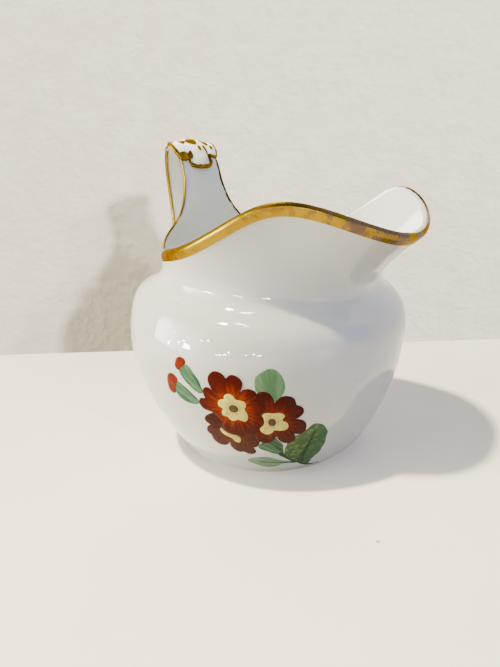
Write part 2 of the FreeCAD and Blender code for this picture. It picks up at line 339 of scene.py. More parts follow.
def leaf_point(across, down, lift=0.0):
    """A point of the leaf's face: mm across, mm down the front from the crest, mm above it."""
    lengths = [0.0]
    for a, b in zip(LEAF_ROUTE, LEAF_ROUTE[1:]):
        lengths.append(lengths[-1] + math.dist(a, b))
    along = min(max(down + lengths[CREST], 0.0), lengths[-1] - 1e-6)
    k = max(i for i in range(len(lengths) - 1) if lengths[i] <= along)
    t = (along - lengths[k]) / (lengths[k + 1] - lengths[k])
    a, b = LEAF_ROUTE[k], LEAF_ROUTE[k + 1]
    before, after = LEAF_ROUTE[max(k - 1, 0)], LEAF_ROUTE[min(k + 2, len(LEAF_ROUTE) - 1)]
    run = [(b[i] - before[i]) * (1 - t) + (after[i] - a[i]) * t for i in (0, 1)]
    steep = math.hypot(*run)
    out = (-run[1] / steep, run[0] / steep)
    side = abs(across)
    tongue = math.exp(-(side / TONGUE_WIDTH) ** 2)
    groove = math.exp(-((side - GROOVE_AT) / GROOVE_WIDTH) ** 2) * easy(down, 1.5, 7.0)
    lobe = math.exp(-((side - LOBE_AT) / LOBE_WIDTH) ** 2) * easy(down, -1.0, 4.0)
    # Above the route, in mm: the face, its tongue, lobes and grooves, and its fall to the sides.
    rise = 0.55 + 0.75 * tongue + 0.35 * lobe - 0.55 * groove - 0.012 * side * side + lift
    # The tongue stands up towards its tip.
    rise += 0.5 * easy(down, 6.0, 11.0) * tongue
    return Vector((AXIS_X + (a[0] + (b[0] - a[0]) * t + out[0] * rise) * MM, across * MM,
                   (a[1] + (b[1] - a[1]) * t + out[1] * rise) * MM))


leaf = moved(drawn_patch("leaf_thumb_rest", LEAF_OUTLINE, 0.7, 0.35), leaf_point, turned=True)
thickened(leaf, LEAF_THICKNESS * MM)
soft = leaf.modifiers.new("pressed_edge", "BEVEL")
soft.width, soft.segments = 0.22 * MM, 2
soft.limit_method, soft.angle_limit = "ANGLE", 1.0
finish_modifiers(leaf)
dress(leaf, porcelain)
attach(leaf, "root")
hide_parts("thumb_rest_leaf")

# ------------------------------------------------------------------ gilding
# Gold in a resinous medium, brushed on over the fired glaze and burnished: a band over the rim,
# lines up both edges of the strap, and a line with dabs on the leaf. It is rubbed thin in use.
rubbed = shared_effect("rubbed_gold", {"Rubbing": 0.5},
                       {"Gold": "Color", "Metal": "Float", "Roughness": "Float",
                        "Normal": "Vector"})
seat = rubbed.seat()
patchy = rubbed.noise(seat, 260.0, 5.0)
cloudy = rubbed.noise(seat, 70.0)
lipward = rubbed.steps(rubbed.add("SeparateXYZ", in_0=seat).outputs["X"], 15 * MM, 46 * MM)
worn = rubbed.maths("ADD", patchy, rubbed.maths("MULTIPLY", lipward, rubbed.given["Rubbing"]))
bare = rubbed.steps(worn, 0.72, 0.95)
tone = rubbed.mix(rubbed.steps(cloudy, 0.35, 0.65), (0.215, 0.138, 0.010, 1),
                  (0.150, 0.090, 0.007, 1))
tone = rubbed.mix(rubbed.steps(patchy, 0.45, 0.75), tone, (0.10, 0.052, 0.006, 1))
rubbed.link(rubbed.mix(bare, tone, (0.105, 0.068, 0.055, 1)), "Gold")
rubbed.link(rubbed.steps(bare, 0.0, 1.0, 1.0, 0.35), "Metal")
rubbed.link(rubbed.steps(patchy, 0.3, 0.8, 0.16, 0.38), "Roughness")
rubbed.link(rubbed.relief(patchy, 0.35, 0.12 * MM), "Normal")


def gilding_finish(name, rubbing, shaded):
    """Burnished gold, rubbed through towards the lip, and evenly darker by the given share: painted
    shade for gold that lies in shadow.
    """
    gold = Finish(name)
    wear = gold.place(rubbed, Rubbing=rubbing)
    gold.link(gold.mix(shaded, wear["Gold"], (0.03, 0.022, 0.006, 1)), "Base Color")
    for output, socket in (("Metal", "Metallic"), ("Roughness", "Roughness"), ("Normal", "Normal")):
        gold.link(wear[output], socket)
    gold.set(Specular_Tint=(0.75, 0.50, 0.16, 1))
    return gold


# The strap lines and the leaf's gold are shaded copies of the rim's gold: their colour is darkened
# as painted shade.
rim_gold = gilding_finish("rim_gold", 0.34, 0.0)
line_gold = gilding_finish("line_gold", 0.1, 0.30)
dress(nodes["rim_gilding"], rim_gold)
for name in nodes:
    if name.startswith("strap_gilding"):
        dress(nodes[name], line_gold)


def gilt_line(name, points, radii, closed=True):
    """A line of gold through points, thicker and thinner as the brush was pressed; in metres."""
    line = bpy.data.curves.new(name, "CURVE")
    line.dimensions, line.bevel_depth, line.bevel_resolution = "3D", 1.0, 2
    spline = line.splines.new("POLY")
    spline.points.add(len(points) - 1)
    spline.use_cyclic_u = closed
    line.use_fill_caps = not closed
    for point, spot, radius in zip(spline.points, points, radii):
        point.co = (*spot, 1.0)
        point.radius = radius
    piece = bpy.data.objects.new(name, line)
    bpy.context.scene.collection.objects.link(piece)
    hold(piece)
    bpy.ops.object.convert(target="MESH")
    bpy.ops.object.shade_smooth()
    return piece


# The line round the leaf, just inside its margin, broader at the back and the tongue's tip.
LINE_RADIUS = 0.40
margin, radii = [], []
for k, (a, b) in enumerate(zip(LEAF_OUTLINE, LEAF_OUTLINE[1:] + LEAF_OUTLINE[:1])):
    for t in (0.0, 0.5):
        across, down = a[0] + (b[0] - a[0]) * t, a[1] + (b[1] - a[1]) * t
        margin.append(leaf_point(across * 0.965, down * 0.985, -0.12))
        pressed = 0.30 if across < -4 or down > 9.5 else 0.0
        unsteady = 0.20 * math.sin(2.3 * k + 2 * t) ** 2
        radii.append((LINE_RADIUS + pressed + unsteady) * MM)
gilt_pieces = [gilt_line("gilt_margin", margin, radii)]

# Beside the leaf, on each side, a line on the strap's very edge runs over the bend from the top
# of the back strap line to the top of the front one. In mm: just inside that edge, well outside
# it, and clear above the bend.
INSIDE_EDGE = 6.3
OUTSIDE_EDGE = 15.0
ABOVE_BEND = 110.0
for side, hand in ((-1, "right"), (1, "left")):
    ends = [max((v.co for v in nodes["strap_gilding_%s_%s" % (limb, hand)].data.vertices),
                key=lambda point: point.z) for limb in ("back", "front")]
    over = [ends[0]]
    for back in (-41.8, -41.0, -40.0, -39.0, -38.0, -37.0):
        above = Vector((back, side * INSIDE_EDGE, ABOVE_BEND)) * MM
        top = pot_faces.ray_cast(above, Vector((0, 0, -1)))[0].z
        beside = Vector((back * MM, side * OUTSIDE_EDGE * MM, top - 0.35 * MM))
        edge = pot_faces.ray_cast(beside, Vector((0, -side, 0)))[0]
        over.append(edge + Vector((0, side * 0.15, 0.2)) * MM)
    over.append(ends[1])
    radii = [0.42 * MM] * len(over)
    gilt_pieces.append(gilt_line("gilt_over_the_bend", over, radii, closed=False))

# Dabs of gold on the leaf, as mm across and down like its margin.
DABS = [
    [(-8.6, 6.9), (-7.4, 6.3), (-5.8, 6.4), (-4.7, 6.6), (-3.8, 6.0), (-3.3, 7.0), (-3.4, 8.4),
     (-4.4, 8.9), (-5.8, 8.8), (-7.4, 8.8), (-8.4, 8.2)],
    [(-5.6, 0.8), (-4.6, 0.3), (-3.6, 0.6), (-3.2, 1.6), (-3.8, 2.7), (-4.8, 3.0), (-5.7, 2.2)],
    [(-3.0, 1.6), (-1.6, 0.8), (-0.2, 1.2), (0.6, 2.4), (0.2, 3.8), (-1.0, 4.4), (-2.4, 3.8),
     (-3.2, 2.8)],
    [(-0.4, 5.1), (0.4, 4.9), (1.0, 5.5), (0.8, 6.2), (0.1, 6.4), (-0.5, 5.8)],
    [(2.2, 4.8), (3.2, 4.6), (4.0, 6.2), (4.7, 8.0), (4.9, 9.9), (3.9, 10.3), (3.4, 8.6),
     (2.8, 6.6)],
    [(6.1, 4.4), (6.9, 4.2), (7.3, 5.3), (6.6, 5.9)],
    [(6.2, 8.0), (6.9, 7.8), (7.5, 8.5), (6.8, 8.9)],
    [(2.5, 1.7), (3.8, 1.6), (5.1, 2.2), (6.1, 3.2), (5.7, 4.0), (4.4, 3.4), (3.2, 2.8)],
    [(-2.2, -3.0), (-1.2, -3.4), (-0.8, -2.2), (-1.6, -1.8)],
    [(1.4, -3.4), (2.2, -3.0), (2.0, -1.8), (1.2, -2.2)],
]
for k, outline in enumerate(DABS):
    dab = drawn_patch("dab_%d" % k, outline, 0.8, 0.1)
    moved(dab, lambda u, v: leaf_point(u, v, 0.15), turned=True)
    gilt_pieces.append(thickened(dab, 0.2 * MM))
leaf_gold = joined("leaf_line_and_dabs", gilt_pieces)
dress(leaf_gold, gilding_finish("leaf_gold", 0.1, 0.05))
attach(leaf_gold, "root")
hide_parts("leaf_gilding")

# ------------------------------------------------------------------ painted spray
# Overglaze enamel, brushed on the flank and fired low: three auriculas with pale stars, two
# buds, leaves and a stem. Each stroke of paint is a thin skin that follows the pot's round.

# The spray's middle in mm from the pot's axis, and the directions across, up and out from it:
# it faces 56 degrees round from the lip, and 14 degrees down.
SPRAY_MIDDLE = Vector((26.57, -35.59, 28.34))
SPRAY_ACROSS = Vector((0.829, 0.559, 0.0))
SPRAY_UP = Vector((0.135, -0.2006, 0.970))
SPRAY_OUT = Vector((0.5426, -0.8044, -0.2419))
# In mm: the first layer's face above the glaze, each layer above the last, a skin's depth, and
# how far off the pot a brush starts.
FIRST_LAYER = 0.045
LAYER = 0.018
SKIN = 0.06
OFF_POT = 25
# How strongly the enamels mirror the room, against 0.5 for plain glass.
DEEP_SHEEN = 0.05
PALE_SHEEN = 0.12


def on_pot(u, v, lift):
    """The point of the pot's face under mm across and up the spray, lifted in mm."""
    above = SPRAY_MIDDLE + SPRAY_ACROSS * u + SPRAY_UP * v + SPRAY_OUT * OFF_POT
    above = above * MM + Vector((AXIS_X, 0, 0))
    touch, normal, _, _ = pot_faces.ray_cast(above, -SPRAY_OUT)
    return touch + normal * lift * MM


def spokes(eye):
    """Strokes that run out from a flower's eye: their direction, and cm along them."""
    def measure(u, v):
        r = max(math.hypot(u - eye[0], v - eye[1]), 1e-3)
        return ((u - eye[0]) / r, (v - eye[1]) / r, r / 10)
    return measure


def along(root, tip):
    """Strokes that run from a leaf's root to its tip: cm across, nothing, cm along."""
    way = (Vector(tip) - Vector(root)).normalized()

    def measure(u, v):
        u, v = u - root[0], v - root[1]
        return ((u * way.y - v * way.x) / 10, 0.0, (u * way.x + v * way.y) / 10)
    return measure


def painted(name, outline, layer, strokes, rim=0.32):
    """One patch of enamel on the pot, in its layer, with the run of its brush strokes."""
    patch = drawn_patch(name, outline, 1.5, rim)
    mark = patch.data.attributes.new("stroke", "FLOAT_VECTOR", "POINT")
    for vertex, value in zip(patch.data.vertices, mark.data):
        value.vector = strokes(vertex.co.x, vertex.co.y)
    moved(patch, lambda u, v: on_pot(u, v, FIRST_LAYER + LAYER * layer))
    return thickened(patch, SKIN * MM)


def ribbon(points, widths):
    """The closed outline of a brush line through points, with its width at each."""
    left, right = [], []
    for k, (u, v) in enumerate(points):
        before, after = points[max(k - 1, 0)], points[min(k + 1, len(points) - 1)]
        run = Vector((after[0] - before[0], after[1] - before[1])).normalized()
        left.append((u - run.y * widths[k] / 2, v + run.x * widths[k] / 2))
        right.append((u + run.y * widths[k] / 2, v - run.x * widths[k] / 2))
    return left + right[::-1]


def oval(middle, across, up, count):
    """The outline of an oval about its middle."""
    turns = [2 * math.pi * k / count for k in range(count)]
    return [(middle[0] + across * math.cos(a), middle[1] + up * math.sin(a)) for a in turns]


def keep(piece, finish):
    """Dresses a new piece that replaces nothing, and puts it on the pot."""
    dress(piece, finish)
    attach(piece, "root")


brushwork = shared_effect("brushwork", {"Across": 5.0, "Along": 3.0},
                          {"Streak": "Float", "Rim": "Float", "Reach": "Float", "Side": "Float",
                           "Normal": "Vector"})
stroke = brushwork.add("Attribute", attribute_name="stroke").outputs["Vector"]
run = brushwork.add("SeparateXYZ", in_0=stroke).outputs
scale = brushwork.add("CombineXYZ", in_0=brushwork.given["Across"],
                      in_1=brushwork.given["Across"], in_2=brushwork.given["Along"]).outputs[0]
stretched = brushwork.add("VectorMath", operation="MULTIPLY", in_0=stroke, in_1=scale).outputs[0]
streak = brushwork.noise(stretched, 1.0, 3.0, 0.6)
brushwork.link(brushwork.steps(streak, 0.32, 0.68), "Streak")
brushwork.link(brushwork.add("Attribute", attribute_name="rim").outputs["Fac"], "Rim")
brushwork.link(run["Z"], "Reach")
brushwork.link(run["X"], "Side")
brushwork.link(brushwork.relief(streak, 0.25, 0.06 * MM), "Normal")


def petal_enamel(name, tip, middle, heart, edge, heart_at):
    """Iron-red enamel: orange round the star, up to heart_at cm out, and streaked to dark tips."""
    enamel = Finish(name)
    brush = enamel.place(brushwork, Across=9.0, Along=2.2)
    ragged = enamel.maths("MULTIPLY", enamel.maths("SUBTRACT", brush["Streak"], 0.5), -0.34)
    reach = enamel.maths("ADD", brush["Reach"], ragged)
    colour = enamel.mix(enamel.steps(reach, heart_at, heart_at + 0.26), heart, middle)
    colour = enamel.mix(enamel.steps(reach, heart_at + 0.2, heart_at + 0.5), colour, tip)
    colour = enamel.mix(enamel.steps(brush["Rim"], 0.3, 1.0, 0.0, 0.55), colour, edge)
    enamel.link(colour, "Base Color")
    enamel.link(brush["Normal"], "Normal")
    enamel.set(Roughness=0.14, IOR=1.5, Specular_IOR_Level=DEEP_SHEEN)
    return enamel


red = petal_enamel("iron_red_enamel", (0.082, 0.0038, 0.0008, 1), (0.160, 0.0105, 0.0007, 1),
                   (0.33, 0.042, 0.0015, 1), (0.090, 0.006, 0.0015, 1), 0.38)
deep_red = petal_enamel("deep_red_enamel", (0.066, 0.0028, 0.0008, 1), (0.120, 0.0060, 0.0006, 1),
                        (0.22, 0.020, 0.0012, 1), (0.070, 0.004, 0.0012, 1), 0.36)
brown_red = petal_enamel("brown_red_enamel", (0.058, 0.0052, 0.0028, 1), (0.074, 0.0068, 0.0030, 1),
                         (0.115, 0.013, 0.0030, 1), (0.075, 0.009, 0.004, 1), 0.30)

star_yellow = Finish("star_enamel")
brush = star_yellow.place(brushwork, Across=4.0, Along=5.0)
colour = star_yellow.mix(star_yellow.steps(brush["Streak"], 0.35, 1.0), (0.97, 0.82, 0.20, 1),
                         (0.78, 0.60, 0.11, 1))
colour = star_yellow.mix(star_yellow.steps(brush["Reach"], 0.12, 0.3, 0.5, 0.0), colour,
                         (0.50, 0.37, 0.09, 1))
star_yellow.link(star_yellow.mix(star_yellow.maths("MULTIPLY", brush["Rim"], 0.5), colour,
                                 (0.97, 0.84, 0.34, 1)), "Base Color")
star_yellow.link(brush["Normal"], "Normal")
star_yellow.set(Roughness=0.16, IOR=1.5, Specular_IOR_Level=PALE_SHEEN)

eye_brown = Finish("eye_enamel")
brush = eye_brown.place(brushwork, Across=3.0, Along=8.0)
colour = eye_brown.mix(brush["Streak"], (0.13, 0.075, 0.022, 1), (0.085, 0.046, 0.014, 1))
eye_brown.link(eye_brown.mix(eye_brown.steps(brush["Rim"], 0.0, 0.45), colour,
                             (0.028, 0.013, 0.005, 1)), "Base Color")
eye_brown.link(brush["Normal"], "Normal")
eye_brown.set(Roughness=0.16, IOR=1.5, Specular_IOR_Level=PALE_SHEEN)

# The radius of the dark ground that each star is painted on.
THROAT = 6.3
# Each flower: its name, its eye, its first layer, its enamel, its petals, its star and the
# half widths of its eye, if it shows.
AURICULAS = [
    ("auricula_below", (-6.0, -9.6), 1, brown_red, [
        [(-7.0, -6.0), (-7.6, -3.2), (-9.6, -0.9), (-11.9, -1.6), (-13.1, -2.4), (-14.2, -3.6),
         (-14.4, -5.0), (-13.6, -6.1), (-12.8, -6.5), (-11.0, -8.2), (-8.2, -9.6), (-6.4, -8.6)],
        [(-8.4, -7.4), (-11.4, -6.9), (-12.9, -6.5), (-14.0, -7.4), (-14.6, -8.8), (-14.5, -10.2),
         (-13.6, -11.2), (-13.5, -12.6), (-12.9, -14.0), (-11.7, -15.0), (-10.3, -15.1),
         (-8.9, -14.3), (-8.0, -13.0), (-5.8, -11.4), (-6.0, -9.2)],
        [(-5.2, -9.4), (-7.6, -12.4), (-8.2, -13.9), (-7.9, -15.6), (-6.8, -17.0), (-5.5, -17.6),
         (-4.6, -17.3), (-3.4, -18.1), (-1.9, -18.2), (-0.8, -17.2), (-0.8, -15.8), (-1.4, -14.4),
         (-2.2, -12.0), (-3.4, -9.6)],
        [(-5.2, -8.8), (-4.2, -11.6), (-2.6, -13.6), (-1.0, -14.7), (0.2, -14.0), (0.9, -12.4),
         (1.2, -10.6), (0.8, -8.6), (-1.0, -7.0), (-4.0, -7.0)],
    ], [(-9.7, -7.0), (-9.7, -8.9), (-8.2, -10.2), (-6.8, -11.2), (-6.3, -12.1), (-5.2, -12.6),
        (-4.5, -11.4), (-4.8, -9.9), (-6.2, -9.4), (-8.0, -8.8), (-9.0, -7.8)], None),
    ("auricula_right", (5.3, -4.0), 4, deep_red, [
        [(3.2, -1.0), (1.6, 1.0), (1.0, 3.6), (1.1, 4.9), (1.9, 6.1), (3.3, 6.8), (4.8, 6.5),
         (5.9, 5.4), (6.4, 3.9), (6.5, 2.6), (6.0, 0.8), (5.0, -1.0)],
        [(5.6, -0.6), (5.4, 1.2), (6.5, 2.7), (7.6, 4.0), (9.0, 4.7), (10.6, 4.4), (11.8, 3.4),
         (12.2, 2.1), (12.3, 1.2), (13.4, 0.4), (14.1, -0.9), (13.8, -2.4), (12.8, -3.4),
         (11.6, -3.9), (9.8, -3.4), (8.2, -2.6), (6.8, -1.4)],
        [(8.4, -3.4), (10.4, -3.9), (12.0, -4.0), (13.3, -4.6), (14.3, -6.0), (14.4, -7.9),
         (13.7, -9.6), (12.5, -10.2), (11.2, -9.9), (9.8, -8.8), (8.6, -7.4), (7.8, -5.6)],
        [(6.0, -7.2), (5.8, -8.6), (6.1, -10.4), (6.7, -12.0), (7.8, -13.2), (9.0, -13.6),
         (10.2, -13.1), (11.0, -12.0), (11.1, -10.6), (10.8, -9.4), (9.6, -8.0), (8.0, -6.6)],
        [(1.2, -6.4), (0.2, -8.4), (0.3, -10.4), (1.1, -11.9), (2.4, -12.6), (3.8, -12.4),
         (4.9, -11.4), (5.5, -9.9), (5.6, -8.4), (5.4, -7.0), (3.6, -5.6)],
    ], [(4.3, -0.4), (5.8, -0.7), (7.5, -0.7), (8.6, -1.3), (8.9, -2.2), (8.2, -3.6), (9.2, -4.6),
        (9.6, -5.8), (9.0, -7.3), (7.2, -7.6), (5.7, -7.2), (4.9, -8.2), (3.8, -8.7), (2.6, -8.2),
        (1.8, -7.0), (1.9, -6.0), (2.9, -4.9), (3.2, -2.4), (3.0, -1.0)], (1.05, 1.4)),
    ("auricula_left", (-4.8, 1.2), 7, red, [
        [(-1.6, -0.6), (0.2, -1.8), (1.6, -1.7), (3.0, -2.2), (3.6, -3.5), (3.1, -4.8),
         (2.0, -5.6), (1.2, -6.8), (0.4, -7.8), (-1.0, -8.2), (-2.2, -7.4), (-2.9, -5.6),
         (-3.0, -3.4), (-2.4, -1.8)],
        [(-2.6, 4.1), (-2.3, 5.8), (-1.9, 7.2), (-0.6, 7.8), (0.9, 7.5), (2.0, 6.5), (2.1, 5.2),
         (1.6, 4.2), (2.6, 3.0), (3.8, 1.6), (3.7, 0.2), (2.3, -0.8), (0.5, -1.1), (-1.2, -0.6),
         (-2.2, 0.8), (-2.4, 2.4)],
        [(-8.0, 2.9), (-9.3, 5.2), (-10.4, 6.7), (-11.5, 7.5), (-12.6, 7.2), (-13.2, 5.9),
         (-13.1, 4.6), (-12.9, 3.8), (-14.3, 3.4), (-14.9, 2.0), (-14.6, 0.6), (-13.6, -0.4),
         (-12.2, -0.8), (-10.6, -1.1), (-9.2, -0.7), (-7.6, 0.4)],
        [(-8.2, 4.2), (-9.8, 5.6), (-10.6, 7.5), (-11.2, 9.6), (-10.6, 11.6), (-9.2, 12.7),
         (-7.6, 12.6), (-6.4, 11.7), (-5.9, 11.0), (-5.0, 11.8), (-3.8, 12.0), (-2.4, 11.3),
         (-1.5, 9.9), (-1.6, 8.4), (-2.4, 6.8), (-3.2, 5.0), (-4.6, 3.2), (-6.4, 3.0)],
        [(-6.9, -1.6), (-8.0, -3.0), (-8.9, -4.9), (-9.0, -6.6), (-8.3, -8.0), (-6.9, -8.7),
         (-5.6, -9.2), (-4.0, -9.1), (-2.8, -8.2), (-2.3, -6.6), (-2.7, -4.6), (-3.2, -2.8),
         (-4.4, -1.6)],
    ], [(-5.6, 6.1), (-4.5, 5.6), (-3.8, 4.4), (-2.6, 4.1), (-1.3, 3.5), (-1.2, 2.4), (-1.7, 1.2),
        (-1.2, -0.4), (-1.1, -1.8), (-2.0, -3.3), (-3.3, -2.9), (-4.2, -2.7), (-5.2, -3.3),
        (-6.2, -2.9), (-6.9, -1.9), (-8.2, -1.4), (-8.3, -0.2), (-7.9, 0.9), (-8.9, 1.8),
        (-8.9, 3.2), (-8.2, 4.0), (-7.2, 4.3), (-6.9, 5.4)], (1.3, 1.3)),
]
# Each petal lies half a layer over the one before, the star over them all, the eye on the star.
for name, eye, layer, enamel, petals, star, eye_size in AURICULAS:
    pieces = [painted("petal", outline, layer + 0.5 * k, spokes(eye))
              for k, outline in enumerate(petals)]
    if eye_size:
        throat = oval(eye, THROAT, THROAT, 12)
        pieces.append(painted("throat", throat, layer + 0.2, spokes(eye)))
    keep(joined(name + "_petals", pieces), enamel)
    keep(painted(name + "_star", star, layer + 3.2, spokes(eye)), star_yellow)
    if eye_size:
        ring = oval(eye, *eye_size, 8)
        keep(painted(name + "_eye", ring, layer + 4.0, spokes(eye), 0.45), eye_brown)


def leaf_enamel(name, light, dark, rim, across, down, quilt=0.0, halves=0.0):
    """Green enamel laid in strokes, with quilting and a darker half where asked."""
    enamel = Finish(name)
    brush = enamel.place(brushwork, Across=across, Along=down)
    colour = enamel.mix(brush["Streak"], light, dark)
    if quilt:
        flat = enamel.add("Attribute", attribute_name="stroke").outputs["Vector"]
        cells = enamel.add("TexVoronoi", in_Vector=flat, in_Scale=7.0).outputs["Distance"]
        colour = enamel.mix(enamel.maths("MULTIPLY", enamel.steps(cells, 0.25, 0.6), quilt), colour,
                            (0.055, 0.12, 0.048, 1))
    if halves:
        side = enamel.steps(brush["Side"], -0.02, 0.10)
        colour = enamel.mix(enamel.maths("MULTIPLY", side, halves), colour,
                            (0.060, 0.155, 0.070, 1))
    colour = enamel.mix(enamel.maths("MULTIPLY", brush["Rim"], 0.6), colour, rim)
    enamel.link(colour, "Base Color")
    enamel.link(brush["Normal"], "Normal")
    enamel.set(Roughness=0.15, IOR=1.5, Specular_IOR_Level=DEEP_SHEEN)
    return enamel


pale_leaf = leaf_enamel("pale_leaf_enamel", (0.22, 0.40, 0.20, 1), (0.115, 0.25, 0.105, 1),
                        (0.19, 0.35, 0.18, 1), 6.5, 0.7)
slim_leaf = leaf_enamel("slender_leaf_enamel", (0.27, 0.42, 0.26, 1), (0.20, 0.33, 0.19, 1),
                        (0.11, 0.19, 0.08, 1), 14.0, 1.0)
cup_green = leaf_enamel("sepal_enamel", (0.12, 0.27, 0.14, 1), (0.030, 0.075, 0.040, 1),
                        (0.04, 0.065, 0.025, 1), 11.0, 1.2)
bud_green = leaf_enamel("bud_green_enamel", (0.15, 0.33, 0.17, 1), (0.028, 0.075, 0.042, 1),
                        (0.06, 0.105, 0.04, 1), 13.0, 1.4)
dark_leaf = leaf_enamel("quilted_leaf_enamel", (0.21, 0.30, 0.095, 1), (0.14, 0.22, 0.070, 1),
                        (0.04, 0.11, 0.05, 1), 6.0, 5.0, 0.75, 0.55)
rib_green = leaf_enamel("rib_enamel", (0.060, 0.105, 0.048, 1), (0.036, 0.062, 0.030, 1),
                        (0.022, 0.028, 0.014, 1), 9.0, 2.0)
bud_red = leaf_enamel("bud_red_enamel", (0.26, 0.022, 0.0015, 1), (0.12, 0.008, 0.001, 1),
                      (0.34, 0.07, 0.022, 1), 7.0, 2.0)

# Each patch: its name, its layer, the run of its strokes, its enamel and its outline.
GREENERY = [
    ("pale_leaf", 0, spokes((7.0, 1.0)), pale_leaf,
     [(2.0, 7.0), (1.7, 8.6), (1.7, 10.0), (2.3, 11.5), (4.2, 12.8), (5.7, 13.4), (7.5, 12.9),
      (8.9, 11.2), (9.6, 9.0), (9.6, 6.8), (8.9, 5.3), (7.3, 3.4), (5.0, 3.6)]),
    ("slender_leaf", 0, along((10.0, -24.6), (-4.0, -22.0)), slim_leaf,
     [(-4.0, -22.0), (-3.0, -20.8), (-1.0, -20.1), (1.5, -19.9), (3.5, -20.6), (5.5, -22.0),
      (7.6, -23.2), (9.5, -24.2), (8.0, -24.4), (6.0, -24.6), (4.5, -25.5), (2.5, -25.9),
      (0.5, -25.5), (-2.0, -24.0), (-3.6, -22.9)]),
    ("sepals", 0, along((6.6, -18.4), (2.0, -13.4)), cup_green,
     [(0.3, -14.8), (1.0, -13.0), (2.0, -12.4), (4.6, -11.6), (5.6, -10.5), (6.2, -11.8),
      (7.1, -13.3), (7.4, -14.4), (7.2, -16.5), (6.8, -18.9), (5.4, -18.7), (4.0, -17.9),
      (2.3, -16.6), (0.8, -15.6)]),
    ("quilted_leaf", 0, along((11.3, -26.0), (17.0, -9.0)), dark_leaf,
     [(10.6, -24.2), (9.2, -22.8), (7.9, -20.8), (7.5, -18.5), (7.7, -16.5), (8.2, -15.0),
      (8.8, -13.7), (11.3, -11.0), (13.0, -10.0), (14.2, -9.2), (15.0, -8.6), (15.8, -7.8),
      (16.8, -7.5), (18.2, -8.2), (19.2, -9.4), (19.7, -11.0), (20.1, -13.0), (19.5, -15.0),
      (19.4, -16.5), (18.9, -18.5), (18.0, -20.2), (17.5, -21.8), (16.3, -23.2), (14.9, -24.8),
      (14.0, -26.5), (13.0, -28.0), (12.0, -27.2), (11.0, -26.0)]),
    ("bud_cup_above", 0, along((-13.4, 5.0), (-18.9, 12.0)), bud_green,
     [(-19.9, 10.9), (-19.7, 9.8), (-18.9, 8.5), (-17.3, 6.8), (-15.5, 5.3), (-13.9, 4.9),
      (-13.3, 5.6), (-13.6, 7.2), (-14.2, 9.3), (-15.4, 11.2), (-16.6, 12.8), (-17.6, 13.2),
      (-18.8, 12.2)]),
    ("bud_cup_below", 0, along((-15.0, 1.2), (-21.8, 5.4)), bud_green,
     [(-22.2, 2.3), (-22.4, 4.0), (-21.9, 5.8), (-21.0, 7.0), (-20.2, 6.6), (-18.6, 5.6),
      (-16.7, 4.0), (-15.3, 2.5), (-15.0, 1.4), (-16.3, 0.6), (-18.5, 0.4), (-20.7, 0.9)]),
    ("bud_above", 1, along((-19.0, 11.5), (-20.0, 15.0)), bud_red,
     [(-21.2, 11.7), (-21.0, 13.2), (-20.2, 14.5), (-18.9, 14.9), (-17.7, 14.4), (-17.6, 13.5),
      (-18.6, 12.4), (-19.4, 11.6), (-19.8, 10.9), (-20.6, 11.0)]),
    ("bud_below", 1, along((-22.0, 4.0), (-24.0, 9.0)), bud_red,
     [(-25.1, 4.5), (-24.9, 6.8), (-23.9, 8.7), (-22.6, 9.1), (-21.4, 8.4), (-21.1, 7.3),
      (-21.8, 5.9), (-22.3, 4.3), (-22.8, 2.4), (-23.9, 2.0), (-24.8, 2.6)]),
    ("stem", 1.5, along((17.0, -29.8), (6.3, -18.8)), rib_green,
     ribbon([(6.2, -18.2), (7.6, -21.0), (8.8, -22.8), (10.2, -24.3), (11.6, -26.0), (13.6, -28.0),
             (16.6, -29.6)], [1.1, 0.75, 0.6, 0.6, 0.7, 0.8, 0.5])),
    ("quilted_leaf_rib", 1, along((11.3, -26.0), (17.0, -9.0)), rib_green,
     ribbon([(11.3, -25.6), (12.1, -22.0), (13.5, -18.5), (15.2, -14.5), (16.7, -10.4)],
            [1.2, 1.2, 0.9, 0.6, 0.3])),
    ("slender_leaf_rib", 1, along((10.0, -24.6), (-4.0, -22.0)), rib_green,
     ribbon([(-0.5, -22.5), (3.0, -23.0), (7.0, -23.8), (10.4, -24.6)], [0.2, 0.3, 0.4, 0.5])),
    ("pale_leaf_rib", 1, spokes((7.0, 1.0)), pale_leaf,
     ribbon([(6.6, 4.0), (6.2, 7.0), (5.6, 10.0), (5.4, 12.2)], [0.3, 0.4, 0.35, 0.2])),
]
for name, layer, strokes, enamel, outline in GREENERY:
    rim = 0.12 if "rib" in name or name == "stem" else 0.3
    keep(painted(name, outline, layer, strokes, rim), enamel)

# ------------------------------------------------------------------ kiln specks
# Grit that fell on the glaze in the kiln and stayed there as small dark specks. For each: the
# place near it in mm, the way it faces, and its radius in mm. Each lies flattened on the glaze.
SPECKS = [((3, -39, 57), (0.1, -0.5, 0.8), 0.238), ((41, -9, 63), (0.8, -0.4, -0.6), 0.182),
          ((41, -6, 60), (0.8, -0.3, -0.5), 0.14), ((44, -11, 34), (1.0, -0.3, -0.2), 0.168)]
FLATTENED = 0.6
SKEWED = 0.15
grit = Finish("kiln_grit")
brown = grit.noise(grit.seat(), 3000.0)
grit.link(grit.mix(brown, (0.10, 0.07, 0.05, 1), (0.26, 0.20, 0.16, 1)), "Base Color")
grit.set(Roughness=0.3)
specks = []
for k, (spot, away, radius) in enumerate(SPECKS):
    spot, away = Vector(spot) * MM + Vector((AXIS_X, 0, 0)), Vector(away).normalized()
    touch, normal, _, _ = pot_faces.ray_cast(spot + away * 3 * MM, -away)
    put_down()
    bpy.ops.mesh.primitive_ico_sphere_add(subdivisions=2, radius=radius * MM, location=touch)
    speck = bpy.context.object
    for vertex in speck.data.vertices:
        pressed = normal * vertex.co.dot(normal) * FLATTENED
        skewed = vertex.co.orthogonal() * SKEWED * math.sin(9.1 * k)
        vertex.co = vertex.co - pressed + skewed
    specks.append(speck)
grit_piece = joined("kiln_specks", specks)
bpy.ops.object.transform_apply(location=True, rotation=True, scale=True)
bpy.ops.object.shade_smooth()
